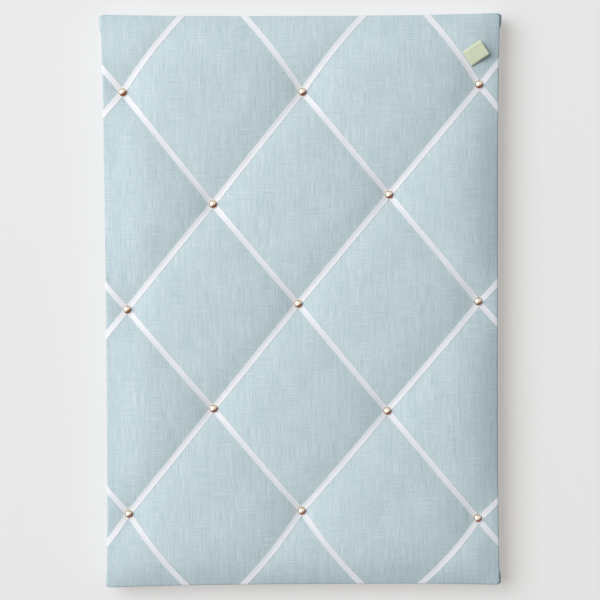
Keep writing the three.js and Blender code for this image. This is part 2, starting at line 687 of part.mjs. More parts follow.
const screwHoles = [];
for (const [side, sign] of [['left', -1], ['right', 1]]) {
  const x = sign * hangerReach;
  const hanger = new THREE.Group();
  hanger.position.set(x, pinHeight, -CLEARANCE);
  hanger.rotation.y = Math.PI;
  bench.add(hanger);
  place(`hanger_strap_${side}`, strapGeometry(), steel, hanger);
  place(`hanger_ring_${side}`, ringGeometry(), steel, hanger).position.z = curlOuter;
  const screw = place(`hanger_screw_${side}`, screwGeometry(), steel, hanger);
  screw.position.set(0, -SCREW_DROP, STRAP_GAUGE + CLEARANCE);
  screwHoles.push(solidOf(upright(
    screwHole, x, pinHeight - SCREW_DROP, -CLEARANCE, boardBack + SCREW_BITE + CLEARANCE)));
}

// Core board
const core = solidOf(block(
  -BOARD_WIDTH / 2, BOARD_WIDTH / 2, -BOARD_HEIGHT / 2, BOARD_HEIGHT / 2, boardBack, boardFront));
place('core_board', geometryOf(cutAll(core, [...studHoles, ...stapleHoles, ...screwHoles])), fibreboard);

// Wadding: a padded tray over the board's front and edges
const boardPocket = solidOf(block(
  -BOARD_WIDTH / 2 - CLEARANCE, BOARD_WIDTH / 2 + CLEARANCE,
  -BOARD_HEIGHT / 2 - CLEARANCE, BOARD_HEIGHT / 2 + CLEARANCE, 0, waddingBase));
const waddingForm = rolledBlock(-COVER_THICKNESS - CLEARANCE, HIDDEN_ROLL_STEPS, HIDDEN_BACK_ROLL_STEPS)
  .intersect(paddedSlab(waddingBase));
place('wadding', geometryOf(cutAll(waddingForm.subtract(boardPocket), studHoles)), waddingFibre);

// Linen cover: a skin over the wadding, rolled round the edges and turned in on the back
const coverForm = rolledBlock(0, ROLL_STEPS, BACK_ROLL_STEPS).intersect(paddedSlab(coverOuter));
const coverHollow = rolledBlock(-COVER_THICKNESS, HIDDEN_ROLL_STEPS, HIDDEN_BACK_ROLL_STEPS)
  .intersect(paddedSlab(coverInner));
const backOpening = solidOf(block(
  COVER_TURN_IN - halfWidth, halfWidth - COVER_TURN_IN,
  COVER_TURN_IN - halfHeight, halfHeight - COVER_TURN_IN, 0, boardBack));
const coverSkin = coverForm.subtract(coverHollow).subtract(backOpening);
place('linen_cover', geometryOf(cutAll(coverSkin, [...studHoles, ...stapleHoles])), linen);

// Backing: a stiff card that hides the turned-in edges
const backingSheet = new THREE.BoxGeometry(
  2 * (halfWidth - BACKING_INSET), 2 * (halfHeight - BACKING_INSET), BACKING_THICKNESS, 1, BACKING_STRIPS, 1);
backingSheet.translate(0, 0, BACKING_THICKNESS / 2);
place('backing', geometryOf(cutAll(solidOf(backingSheet), screwHoles)), card);

// Label tag: a folded cotton tape sewn in beside the top right ribbon, left bare
function tagGeometry() {
  const thick = TAG_TAPE + TAG_FOLD_GAP / 2;
  const slot = TAG_FOLD_GAP / 2;
  const fold = TAG_LENGTH - thick;
  const side = new THREE.Shape();
  side.absarc(0, 0, thick, Math.PI / 2, (3 * Math.PI) / 2, false);
  side.absarc(fold, 0, thick, -Math.PI / 2, Math.PI / 2, false);
  const between = new THREE.Path();
  between.moveTo(TAG_SEAM, -slot);
  between.lineTo(TAG_SEAM, slot);
  between.lineTo(fold, slot);
  between.lineTo(fold + slot, 0);
  between.lineTo(fold, -slot);
  side.holes.push(between);
  return extrudedAcross(side, TAG_WIDTH);
}

const tagThick = TAG_TAPE + TAG_FOLD_GAP / 2;
const tagRibbon = falling.at(-1);
const tagRun = latticeMap(...tagRibbon.lattice(tagRibbon.from, 0)).distanceTo(
  latticeMap(...tagRibbon.lattice(tagRibbon.from - 1, 0)));

// A spot on the ribbon's bed, a distance up from the tag's stud
function tagSeat(distance) {
  const cell = tagRibbon.lattice(tagRibbon.from - distance / tagRun, 0);
  const spot = latticeMap(...cell);
  return new THREE.Vector3(spot.x, spot.y, coverOuter + paddingHeight(...cell));
}

const tagTop = tagSeat(TAG_DISTANCE + TAG_WIDTH / 2);
const tagFoot = tagSeat(TAG_DISTANCE - TAG_WIDTH / 2);
const tagAlong = tagFoot.clone().sub(tagTop).normalize();
const tagOut = new THREE.Vector3(-tagAlong.y, tagAlong.x, 0).normalize();
const tagUp = tagAlong.clone().cross(tagOut);
const tag = new THREE.Group();
tag.position.lerpVectors(tagTop, tagFoot, 0.5);
tag.position.addScaledVector(tagOut, RIBBON_WIDTH / 2 + CLEARANCE + tagThick);
tag.position.addScaledVector(tagUp, CLEARANCE + tagThick);
tag.setRotationFromMatrix(new THREE.Matrix4().makeBasis(tagAlong, tagOut, tagUp));
bench.add(tag);
place('label_tag', tagGeometry(), cotton, tag).rotation.x = radians(TAG_LIFT);

const memoBoard = new THREE.Group();
memoBoard.add(bench);
bench.rotation.x = Math.PI / 2;

export default memoBoard;
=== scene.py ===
import json
import math

import bpy
import numpy as np
from mathutils import Matrix, Vector


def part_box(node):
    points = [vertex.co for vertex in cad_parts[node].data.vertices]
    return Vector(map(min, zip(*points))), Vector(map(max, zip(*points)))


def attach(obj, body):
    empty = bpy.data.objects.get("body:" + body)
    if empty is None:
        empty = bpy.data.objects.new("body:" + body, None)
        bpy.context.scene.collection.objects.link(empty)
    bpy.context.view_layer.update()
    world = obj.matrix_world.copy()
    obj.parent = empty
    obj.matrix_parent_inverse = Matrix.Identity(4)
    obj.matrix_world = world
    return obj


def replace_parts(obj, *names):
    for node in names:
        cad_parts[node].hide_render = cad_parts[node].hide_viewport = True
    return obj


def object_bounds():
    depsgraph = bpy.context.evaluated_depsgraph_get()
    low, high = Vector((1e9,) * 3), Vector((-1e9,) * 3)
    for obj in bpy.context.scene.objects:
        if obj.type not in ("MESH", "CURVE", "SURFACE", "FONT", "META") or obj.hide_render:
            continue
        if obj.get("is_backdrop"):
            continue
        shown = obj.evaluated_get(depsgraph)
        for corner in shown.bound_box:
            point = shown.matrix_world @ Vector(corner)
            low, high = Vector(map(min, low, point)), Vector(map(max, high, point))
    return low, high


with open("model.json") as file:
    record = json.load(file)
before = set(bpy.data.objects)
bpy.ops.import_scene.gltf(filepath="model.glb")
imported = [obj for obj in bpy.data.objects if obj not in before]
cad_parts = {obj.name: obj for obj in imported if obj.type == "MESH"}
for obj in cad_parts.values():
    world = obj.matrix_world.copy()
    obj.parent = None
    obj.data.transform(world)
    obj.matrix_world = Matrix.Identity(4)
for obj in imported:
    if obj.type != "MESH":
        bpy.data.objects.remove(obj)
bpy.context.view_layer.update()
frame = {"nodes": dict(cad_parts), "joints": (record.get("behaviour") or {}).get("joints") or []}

# Camera
# A long lens 1.7 m in front of the board, a little above its middle and looking slightly down.
# It is turned a hair off level, as a camera held by hand is.
mm = 0.001
view_distance = 1.7
view_centre = Vector((-1.8 * mm, 0, 1.45 * mm))
view_pitch = math.radians(-2.57)
view_yaw = math.radians(-0.49)
view_roll = math.radians(0.3)
sensor_width = 36
lens_length = 96.3

view_turn = Matrix.Rotation(view_yaw, 4, "Z") @ Matrix.Rotation(view_pitch, 4, "X")
view_turn = view_turn @ Matrix.Rotation(view_roll, 4, "Y")
camera_data = bpy.data.cameras.new("camera")
camera_data.lens = lens_length
camera_data.sensor_width = sensor_width
camera = bpy.data.objects.new("camera", camera_data)
eye = view_centre - view_distance * (view_turn @ Vector((0, 1, 0)))
camera.matrix_world = Matrix.Translation(eye) @ view_turn @ Matrix.Rotation(math.pi / 2, 4, "X")
bpy.context.scene.collection.objects.link(camera)
bpy.context.scene.camera = camera
bpy.context.scene.view_settings.view_transform = "Standard"

# Wall, floor and light
# A pale painted wall that the board hangs on, and a pale floor well below it.
# One wide soft window of light stands to the left, and the room fills in the rest.
wall_plane = 5.2 * mm
room_half = 2.5
floor_level = -1.6
tone_reach = 0.3
window_place = (-3.35, -4.1, 1.45)
window_size = 4.6
window_power = 351
fill_place = (0.8, 2.2, 0.8)
fill_size = 1.6
fill_power = 40
away_from_window = (0.8, 0, -0.6)
bright_glow = 0.6
dim_glow = 0.02
wall_glow = 0.55
wall_blend = 0.1


def srgb(red, green, blue):
    """A colour from its 0 to 255 screen values, as linear red, green, blue and alpha."""
    screen = np.array([red, green, blue]) / 255
    linear = np.where(screen <= 0.04045, screen / 12.92, ((screen + 0.055) / 1.055) ** 2.4)
    return (*[float(value) for value in linear], 1.0)


def add_node(tree, kind, inputs=None, **settings):
    """A shader node: settings are its properties, and inputs its sockets, linked where given a socket."""
    made = tree.nodes.new("ShaderNode" + kind)
    for name, value in settings.items():
        setattr(made, name, value)
    for name, value in (inputs or {}).items():
        if isinstance(value, bpy.types.NodeSocket):
            tree.links.new(value, made.inputs[name])
        else:
            made.inputs[name].default_value = value
    return made


def math_node(tree, operation, first, second):
    """The result of one sum on two values."""
    return add_node(tree, "Math", {0: first, 1: second}, operation=operation).outputs[0]


def graded(tree, value, low, high, start=0.0, end=1.0):
    """A value carried over from the span low to high to the span start to end, and held at its ends."""
    return add_node(tree, "MapRange", {0: value, 1: low, 2: high, 3: start, 4: end}).outputs[0]


def blended(tree, share, first, second):
    """The first value, with a share of it given up to the second."""
    return add_node(tree, "Mix", {0: share, 2: first, 3: second}).outputs[0]


def tinted(tree, share, first, second, blend="MIX"):
    """The first colour, with a share of it given up to the second, or to the product of both."""
    sockets = {0: share, 6: first, 7: second}
    return add_node(tree, "Mix", sockets, data_type="RGBA", blend_type=blend).outputs[2]


def object_place(tree):
    """Where a point is in the object's own frame."""
    return add_node(tree, "TexCoord").outputs["Object"]


def axes_of(tree, vector):
    """The X, Y and Z of a vector."""
    return add_node(tree, "SeparateXYZ", {0: vector}).outputs


def along_way(tree, vector, way):
    """How far a vector goes along a direction: their dot product."""
    return add_node(tree, "VectorMath", {0: vector, 1: way}, operation="DOT_PRODUCT").outputs["Value"]


def seen_directly(tree):
    """1 for what is looked at, also in a reflection or through glass, and 0 for light cast on things."""
    path = add_node(tree, "LightPath").outputs
    seen = math_node(tree, "MAXIMUM", path["Is Camera Ray"], path["Is Glossy Ray"])
    return math_node(tree, "MAXIMUM", seen, path["Is Transmission Ray"])


def empty_tree(owner):
    """The cleared node tree of a material or of the world."""
    owner.use_nodes = True
    owner.node_tree.nodes.clear()
    return owner.node_tree


def stage_material(name, left_colour, right_colour, glow):
    """A matt paint that the camera and reflections see from its front only, and that stops no light.

    Its tone goes from one colour to another across the wall. A glow is added to the paint,
    so that shadows on it stay as pale as in a bright room."""
    material = bpy.data.materials.new(name)
    tree = empty_tree(material)
    back = add_node(tree, "NewGeometry").outputs["Backfacing"]
    seen = math_node(tree, "MULTIPLY", seen_directly(tree), math_node(tree, "SUBTRACT", 1.0, back))
    share = graded(tree, axes_of(tree, object_place(tree))["X"], -tone_reach, tone_reach)
    coat = add_node(tree, "BsdfDiffuse", {"Color": tinted(tree, share, left_colour, right_colour)}).outputs[0]
    light = add_node(tree, "Emission", {"Color": glow, "Strength": 1.0}).outputs[0]
    coat = add_node(tree, "AddShader", {0: coat, 1: light}).outputs[0]
    clear = add_node(tree, "BsdfTransparent").outputs[0]
    mixed = add_node(tree, "MixShader", {0: seen, 1: clear, 2: coat}).outputs[0]
    add_node(tree, "OutputMaterial", {"Surface": mixed})
    return material


def stage_sheet(name, corners, material):
    """A flat four-cornered surface that belongs to the room."""
    mesh = bpy.data.meshes.new(name)
    mesh.from_pydata(corners, [], [(0, 1, 2, 3)])
    mesh.materials.append(material)
    made = bpy.data.objects.new(name, mesh)
    bpy.context.scene.collection.objects.link(made)
    made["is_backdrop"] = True


def area_light(name, place, size, power, colour):
    """A square soft light at a place, turned to face the middle of the board."""
    data = bpy.data.lights.new(name, "AREA")
    data.size = size
    data.energy = power
    data.color = colour[:3]
    made = bpy.data.objects.new(name, data)
    made.location = place
    made.rotation_euler = (-Vector(place)).to_track_quat("-Z", "Y").to_euler()
    bpy.context.scene.collection.objects.link(made)


# Painted shade: the wall and floor paint goes darker towards the left, against the window's stronger light
# there.
wall_paint = stage_material("wall_paint", srgb(180, 187, 196), srgb(185, 192, 201), srgb(160, 150, 138))
stage_sheet("wall", [(-room_half, wall_plane, floor_level), (room_half, wall_plane, floor_level),
                     (room_half, wall_plane, room_half), (-room_half, wall_plane, room_half)], wall_paint)
stage_sheet("floor", [(-room_half, -2 * room_half, floor_level), (room_half, -2 * room_half, floor_level),
                      (room_half, room_half, floor_level), (-room_half, room_half, floor_level)], wall_paint)
area_light("window", window_place, window_size, window_power, srgb(255, 250, 244))
area_light("back_fill", fill_place, fill_size, fill_power, srgb(255, 255, 255))

world = bpy.data.worlds.new("room")
bpy.context.scene.world = world
tree = empty_tree(world)
direction = add_node(tree, "TexCoord").outputs["Generated"]
room_glow = graded(tree, along_way(tree, direction, away_from_window), -1.0, 1.0, bright_glow, dim_glow)
wallwards = graded(tree, axes_of(tree, direction)["Y"], -wall_blend, wall_blend)
room_glow = blended(tree, wallwards, room_glow, wall_glow)
room_light = add_node(tree, "Background", {"Color": srgb(229, 246, 255), "Strength": room_glow}).outputs[0]
backdrop = add_node(tree, "Background", {"Color": srgb(232, 232, 230), "Strength": 1.0}).outputs[0]
mixed = add_node(tree, "MixShader", {0: seen_directly(tree), 1: room_light, 2: backdrop}).outputs[0]
add_node(tree, "OutputWorld", {"Surface": mixed})


# Core board
# A 12 mm softboard panel of pressed wood fibre, cut square.
# The nails, the staples and the hanger screws all bite into it.
def finish(name, sockets):
    """A new material: the material, its node tree and its shader, with constants on the shader's sockets."""
    material = bpy.data.materials.new(name)
    material.use_nodes = True
    shader = material.node_tree.nodes["Principled BSDF"]
    for socket, value in sockets.items():
        shader.inputs[socket].default_value = value
    return material, material.node_tree, shader


def stretched_noise(tree, coordinates, grains, detail=2.0, shift=0.0):
    """Noise with a given number of grains to the metre along each of three directions."""
    sockets = {"Vector": coordinates, "Scale": grains, "Location": (shift, shift, 0)}
    scaled = add_node(tree, "Mapping", sockets).outputs[0]
    return add_node(tree, "TexNoise", {"Vector": scaled, "Scale": 1.0, "Detail": detail}).outputs[0]


def ramp(tree, value, stops):
    """Colours by value: stops are pairs of a value and a colour, in order."""
    made = add_node(tree, "ValToRGB", {0: value})
    elements = made.color_ramp.elements
    while len(elements) < len(stops):
        elements.new(0.5)
    for element, (position, colour) in zip(elements, stops):
        element.position = position
        element.color = colour
    return made.outputs[0]


def paint(tree, shader, socket, value):
    """Links a value to one socket of the shader."""
    tree.links.new(value, shader.inputs[socket])


def relief(tree, shader, height, strength, distance):
    """Raises the finish by a height, as fine bumps."""
    bump = add_node(tree, "Bump", {"Height": height, "Strength": strength, "Distance": distance})
    paint(tree, shader, "Normal", bump.outputs[0])


def dress(node, material):
    """Gives a node of the frame its finish."""
    materials = frame["nodes"][node].data.materials
    materials.clear()
    materials.append(material)


fibreboard, tree, shader = finish("fibreboard", {"Roughness": 0.95})
fibres = stretched_noise(tree, object_place(tree), (900, 900, 900), 6.0)
paint(tree, shader, "Base Color", ramp(tree, fibres, [(0.3, srgb(128, 98, 62)), (0.7, srgb(182, 150, 108))]))
relief(tree, shader, fibres, 0.4, 0.4 * mm)
dress("core_board", fibreboard)

# Wadding
# Polyester wadding laid over the front and round the edges of the board.
# Nails and ribbons crush it, so it swells up in a cushion inside every diamond.
column_pitch = 92.4 * mm
row_pitch = 110.5 * mm
lattice_drop = 2 * mm
middle_line = 2
last_line = 4
spare_lines = 3
lattice_corrections = 12
end_bow = 3.6 * mm
wadding_at_nail = 2 * mm
ribbon_rise = 6.2 * mm
crown = 4.3 * mm
valley_softness = 2.5 * mm
edge_reach = 55 * mm
edge_pull = 0.9
cover_base = 18 * mm
side_top = 19 * mm
edge_roll = 1.2 * mm
edge_corrections = 4
side_fullness = 2.2 * mm
fold_standing = 2.5 * mm
end_fullness = 2.3 * mm
corner_radius = 3.2 * mm
corner_tightening = 0.45
least_corner = 0.05 * mm
lump_height = 0.25 * mm
lump_length = 61 * mm
linen_depth = 1.1 * mm
side_wadding = 0.9 * mm
side_middle = 10 * mm
board_back = 4.6 * mm
board_front = -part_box("core_board")[0].y
wadding_columns = 101
wadding_rows = 145

cover_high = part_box("linen_cover")[1]
corner_width = cover_high.x - fold_standing
corner_height = cover_high.z
cover_back = -cover_high.y
ribbon_pitch = 2 * column_pitch * row_pitch / math.hypot(column_pitch, row_pitch)
end_rows = (corner_height - end_fullness) / row_pitch - middle_line


def even_place(column, row):
    """Where a column and a row cross when evenly spaced: counted in pitches from the middle lines."""
    across = (column - middle_line) * column_pitch
    upward = (middle_line - row) * row_pitch - lattice_drop
    return np.stack([across, upward], -1)


# How far each crossing strays from its even place, in columns and rows counted from the top left.
# The nails' places come from the frame, and the ribbons' loose ends beyond them stray as listed.
strays = np.zeros((last_line + 1 + 2 * spare_lines, last_line + 1 + 2 * spare_lines, 2))
loose_ends = {(-1, -1): (-8, -7), (-1, 1): (2, 9), (-1, 3): (7, 8.5), (-1, 5): (8, -9),
              (1, -1): (-6, -0.5), (1, 5): (13, -9.5), (3, -1): (3, -5.5), (3, 5): (24.5, -18),
              (5, -1): (1, -1), (5, 1): (-1, -1.5), (5, 3): (-1.5, -0.5), (5, 5): (4.5, 5.5)}
for (row, column), (right, up) in loose_ends.items():
    strays[row + spare_lines, column + spare_lines] = (right * mm, up * mm)
nail_names = []
for row in range(last_line + 1):
    for number, column in enumerate(range(row % 2, last_line + 1, 2)):
        nail_names.append(f"{row + 1}_{number + 1}")
        low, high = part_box("stud_" + nail_names[-1])
        even = even_place(column, row)
        spot = (low + high) / 2
        strays[row + spare_lines, column + spare_lines] = (spot.x - even[0], spot.z - even[1])


def crossing(a, b):
    """Where rising line b crosses falling line a: at column a + b and row b - a, with its stray."""
    column, row = a + b, b - a
    top = last_line + 2 * spare_lines
    stray = strays[np.clip(row + spare_lines, 0, top), np.clip(column + spare_lines, 0, top)]
    return even_place(column, row) + stray


def lattice_place(a, b):
    """A place between crossings: the two-way average of the four crossings round it.

    Past the end rows it bows outwards, as 4 q (1 - q) of the way q from the last nails to the edge."""
    a0, b0 = np.floor(a).astype(int), np.floor(b).astype(int)
    s, t = (a - a0)[..., None], (b - b0)[..., None]
    near = crossing(a0, b0) * (1 - s) + crossing(a0 + 1, b0) * s
    far = crossing(a0, b0 + 1) * (1 - s) + crossing(a0 + 1, b0 + 1) * s
    place = near * (1 - t) + far * t
    above, below = np.clip((a - b) / end_rows, 0, 1), np.clip((b - a - last_line) / end_rows, 0, 1)
    place[..., 1] += 4 * end_bow * (above * (1 - above) - below * (1 - below))
    return place


def lattice_of(x, z):
    """The lines a and b through a place: an even guess, then a dozen corrections by what it misses."""
    column, row = x / column_pitch + middle_line, middle_line - (z + lattice_drop) / row_pitch
    a, b = (column - row) / 2, (column + row) / 2
    for _ in range(lattice_corrections):
        miss = np.stack([x, z], -1) - lattice_place(a, b)
        columns, rows = miss[..., 0] / column_pitch, -miss[..., 1] / row_pitch
        a, b = a + (columns - rows) / 2, b + (columns + rows) / 2
    return a, b


def side_edge(z):
    """Half the width at a height: least in the middle, fuller by the cube of the distance to the corners."""
    share = np.minimum(np.abs(z) / (corner_height - corner_radius), 1)
    return corner_width - side_fullness * (1 - share**3)


def end_edge(x):
    """Half the height at a place across, in the same way."""
    share = np.minimum(np.abs(x) / (corner_width - corner_radius), 1)
    return corner_height - end_fullness * (1 - share**3)


def padding_height(x, z):
    """The wadding's height: least at a nail, more under a ribbon, most inside a diamond.

    Each ribbon direction gives a hold s from 1 on its line to 0 midway, as the cube of the distance left.
    Swell = rise (1 - sa sb) + crown (1 - sa)(1 - sb), with a slight lumpiness. Near the outline
    the cloth drawn round the edge takes a share of it away, by the square of the distance left."""
    hold = []
    half = math.hypot(ribbon_pitch / 2, valley_softness) - valley_softness
    for line in lattice_of(x, z):
        off = np.abs(line - np.round(line)) * ribbon_pitch
        hold.append((1 - (np.hypot(off, valley_softness) - valley_softness) / half) ** 3)
    lumps = np.sin(2 * np.pi * x / lump_length) * np.sin(2 * np.pi * (z + x / 3) / lump_length)
    swell = ribbon_rise * (1 - hold[0] * hold[1])
    swell = swell + (crown + lump_height * lumps) * (1 - hold[0]) * (1 - hold[1])
    for inset in (side_edge(z) - np.abs(x), end_edge(x) - np.abs(z)):
        swell = swell * (1 - edge_pull * (1 - np.clip(inset / edge_reach, 0, 1)) ** 2)
    return wadding_at_nail + swell


def front_level(x, z, inset):
    """The linen's height off the back plane: the padding, brought down to the side by a quarter ellipse."""
    share = 1 - np.clip(inset, 0, edge_roll) / edge_roll
    return side_top + (cover_base + padding_height(x, z) - side_top) * np.sqrt(1 - share**2)


def wadding_level(x, z, inset):
    """The top of the wadding, one thickness of linen under the cover."""
    return front_level(x, z, inset) - linen_depth


def square_ring(s, t, inset):
    """Places at an inset, from shares s and t of the half width and half height, corrected by turns."""
    x, z = s * corner_width, t * corner_height
    for _ in range(edge_corrections):
        x, z = s * (side_edge(z) - inset), t * (end_edge(x) - inset)
    return x, z


def outline_ring(s, t, inset):
    """Places round the outline at an inset, where one of s and t is 1 or -1.

    Within a radius of a corner the square path is bent onto its round one."""
    x, z = square_ring(s, t, inset)
    radius = max(corner_radius - corner_tightening * inset, least_corner)
    p = (np.abs(x) - (side_edge(z) - inset)) / radius + 1
    q = (np.abs(z) - (end_edge(x) - inset)) / radius + 1
    corner = (p > 0) & (q > 0)
    length = np.where(corner, np.maximum(p, q) / np.maximum(np.hypot(p, q), 1e-9), 1)
    x = np.where(corner, x - np.sign(x) * radius * (p - p * length), x)
    z = np.where(corner, z - np.sign(z) * radius * (q - q * length), z)
    return x, z


def standing(x, out, z):
    """Points of the standing board, from places across, out of the wall and up."""
    x, out, z = np.broadcast_arrays(x, out, z)
    return np.stack([x, -out, z], -1)


def grid_faces(rows, columns, first=0, closed=False):
    """Quads of a grid numbered row by row, going round from the last column to the first if closed."""
    row, column = np.meshgrid(np.arange(rows - 1), np.arange(columns - (not closed)), indexing="ij")
    after = (column + 1) % columns
    here, below = row * columns, (row + 1) * columns
    corners = [here + column, here + after, below + after, below + column]
    return first + np.stack(corners, -1).reshape(-1, 4)


def piece(name, points, faces, material, body, uv=None):
    """A smooth mesh riding on a body. Faces are arrays of like polygons, and uv a pair for each point."""
    mesh = bpy.data.meshes.new(name)
    points = np.asarray(points, np.float32).reshape(-1, 3)
    mesh.vertices.add(len(points))
    mesh.vertices.foreach_set("co", points.ravel())
    corners = np.concatenate([np.asarray(part).ravel() for part in faces]).astype(np.int32)
    sizes = np.concatenate([np.full(len(part), np.shape(part)[1]) for part in faces])
    mesh.loops.add(len(corners))
    mesh.loops.foreach_set("vertex_index", corners)
    mesh.polygons.add(len(sizes))
    mesh.polygons.foreach_set("loop_start", np.concatenate([[0], np.cumsum(sizes)[:-1]]).astype(np.int32))
    mesh.polygons.foreach_set("use_smooth", np.ones(len(sizes), bool))
    if uv is not None:
        layer = mesh.uv_layers.new(name="lay")
        layer.data.foreach_set("uv", np.asarray(uv, np.float32).reshape(-1, 2)[corners].ravel())
    mesh.update(calc_edges=True)
    mesh.validate()
    mesh.materials.append(material)
    made = bpy.data.objects.new(name, mesh)
    bpy.context.scene.collection.objects.link(made)
    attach(made, body)
    return made


def rounded_sheet(columns, rows, stations, level_of):
    """A sheet over the board: a grid on the front, and rings from its border round the edge.

    Stations are pairs of an inset and a level, where no level means the padded front at that inset.
    Returns the points, the quads and the flat place of each point, as the cloth lay before it was folded."""
    s, t = np.meshgrid(np.linspace(-1, 1, columns), np.linspace(-1, 1, rows))
    x, z = square_ring(s, t, edge_roll)
    front = standing(x, level_of(x, z, edge_roll), z).reshape(-1, 3)
    number = np.arange(rows * columns).reshape(rows, columns)
    rim = np.concatenate([number[0, :-1], number[:-1, -1], number[-1, :0:-1], number[:0:-1, 0]])
    ring_s, ring_t = s.ravel()[rim], t.ravel()[rim]
    rings, flats = [front[rim]], [np.stack([x, z], -1).reshape(-1, 2)[rim]]
    away = np.stack([np.sign(ring_s) * (np.abs(ring_s) == 1), np.sign(ring_t) * (np.abs(ring_t) == 1)], -1)
    for inset, level in stations:
        ring_x, ring_z = outline_ring(ring_s, ring_t, inset)
        out = level_of(ring_x, ring_z, inset) if level is None else level
        rings.append(standing(ring_x, out, ring_z))
        moved = rings[-1] - rings[-2]
        outward = np.hypot(moved[:, [0, 2]], moved[:, [1]])
        flats.append(np.where(away == 0, rings[-1][:, [0, 2]], flats[-1] + away * outward))
    count = len(rim)
    band = grid_faces(len(rings), count, 0, True)
    lookup = np.concatenate([rim, len(front) + np.arange((len(rings) - 1) * count)])
    points = np.concatenate([front, *rings[1:]])
    flat = np.concatenate([np.stack([x, z], -1).reshape(-1, 2), *flats[1:]])
    return points, np.concatenate([grid_faces(rows, columns), lookup[band][:, ::-1]]), flat


def steps_to(first, last, steps):
    """Even steps from a first value, left out, to a last one."""
    return np.linspace(first, last, steps + 1)[1:]


def roll_stations(steps):
    """Insets over the rolled front edge, spaced by the roll's own angle, at the padded level."""
    return [(edge_roll * (1 - math.sin(turn)), None) for turn in steps_to(0, math.pi / 2, steps)]


wadding_fibre, tree, shader = finish("wadding_fibre", {"Roughness": 1.0, "Sheen Weight": 0.3})
fluff = stretched_noise(tree, object_place(tree), (400, 400, 400), 8.0)
paint(tree, shader, "Base Color", ramp(tree, fluff, [(0.3, srgb(226, 226, 222)), (0.7, srgb(248, 248, 245))]))
relief(tree, shader, fluff, 0.8, 1.5 * mm)

wadding_stations = [(inset + linen_depth, level) for inset, level in roll_stations(6)]
wadding_stations += [(linen_depth, level) for level in (side_middle, board_back)]
wadding_stations += [(linen_depth + side_wadding, level) for level in (board_back, board_front)]
points, quads, flat = rounded_sheet(wadding_columns, wadding_rows, wadding_stations, wadding_level)
ring_points = 2 * (wadding_columns + wadding_rows - 2)
pad_underside = np.arange(len(points) - ring_points, len(points))[None, ::-1]
wadding = piece("wadding_pad", points, [quads, pad_underside], wadding_fibre, "board", flat)
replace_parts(wadding, "wadding")

# Linen cover
# One cloth of slubbed pale blue linen, drawn over the wadding and round all four edges.
# It is turned in on the back, where the ribbons' staples hold it.
turn_in = 42 * mm
back_roll = 2.4 * mm
cover_columns = 201
cover_rows = 291
fold_start = 0.8 * mm
fold_spread = 6 * mm
fold_gap = 0.1 * mm
fold_setback = 0.5 * mm
fold_flatness = 6
fold_steps = 21
fold_rails = 15
edge_shade_reach = 30 * mm
edge_shade_tone = (0.85, 0.863, 0.872, 1.0)

linen, tree, shader = finish("linen", {"Roughness": 0.95, "Specular IOR Level": 0.2, "Sheen Weight": 0.1})
lay = add_node(tree, "UVMap", uv_map="lay").outputs[0]
warp = stretched_noise(tree, lay, (1050, 55, 1), 3.0)
weft = stretched_noise(tree, lay, (42, 1050, 1), 3.0, 7.0)
grain = stretched_noise(tree, lay, (800, 800, 1), 0.0, 5.0)
patch = stretched_noise(tree, lay, (36, 48, 1), 1.0, 3.0)
slubs = stretched_noise(tree, lay, (300, 16, 1), 2.0, 11.0)
threads = blended(tree, graded(tree, patch, 0.42, 0.62, 0.1, 0.8), warp, weft)
threads = blended(tree, 0.28, threads, grain)
tone = blended(tree, 0.18, threads, slubs)
linen_tones = [(0.34, srgb(171, 191, 198)), (0.5, srgb(192, 208, 215)), (0.66, srgb(210, 223, 228))]
cloth = ramp(tree, tone, linen_tones)
axes = axes_of(tree, object_place(tree))
# Painted shade: within a border of each edge the cloth's colour is darkened, most at the bottom, then the
# right, then the left, and least at the top.
painted_edge_shade = 0.0
for axis, edge, shade_strength in (("X", corner_width, 0.8), ("X", -corner_width, 0.65),
                            ("Z", corner_height, 0.35), ("Z", -corner_height, 1.0)):
    shade_from = edge - math.copysign(edge_shade_reach, edge)
    near = graded(tree, axes[axis], shade_from, edge, 0.0, shade_strength)
    painted_edge_shade = math_node(tree, "MAXIMUM", painted_edge_shade, near)
paint(tree, shader, "Base Color", tinted(tree, painted_edge_shade, cloth, edge_shade_tone, "MULTIPLY"))
relief(tree, shader, tone, 0.35, 0.25 * mm)


def rear_path(reach, turns):
    """Insets and levels from the roll's end down the side, round the rear edge and in across the back."""
    path = [(0, level) for level in steps_to(side_top, cover_back + back_roll, 4)]
    for turn in steps_to(0, math.pi / 2, turns):
        path.append((back_roll * (1 - math.cos(turn)), cover_back + back_roll * (1 - math.sin(turn))))
    return path + [(inset, cover_back) for inset in steps_to(back_roll, reach, 4)]


def strip_piece(name, top, bottom, material, body, slot):
    """A closed strip between top and bottom grids of (steps, rails) points, its length laid along u."""
    steps, rails = top.shape[:2]
    loop = np.concatenate([top, bottom[:, ::-1]], axis=1)
    sides = grid_faces(steps, 2 * rails, 0, True)[:, ::-1]
    rail = np.arange(rails - 1)
    cap = np.stack([rail, rail + 1, 2 * rails - 2 - rail, 2 * rails - 1 - rail], -1)
    caps = np.concatenate([cap, cap[:, ::-1] + (steps - 1) * 2 * rails])
    middle = top[:, rails // 2]
    run = np.concatenate([[0], np.cumsum(np.linalg.norm(np.diff(middle, axis=0), axis=-1))])
    across = np.linalg.norm(top - top[:, :1], axis=-1)
    across = np.concatenate([across, across[:, ::-1]], axis=1)
    uv = np.stack([np.broadcast_to(run[:, None], across.shape), across], -1)
    return piece(name, loop, [sides, caps], material, body, uv)


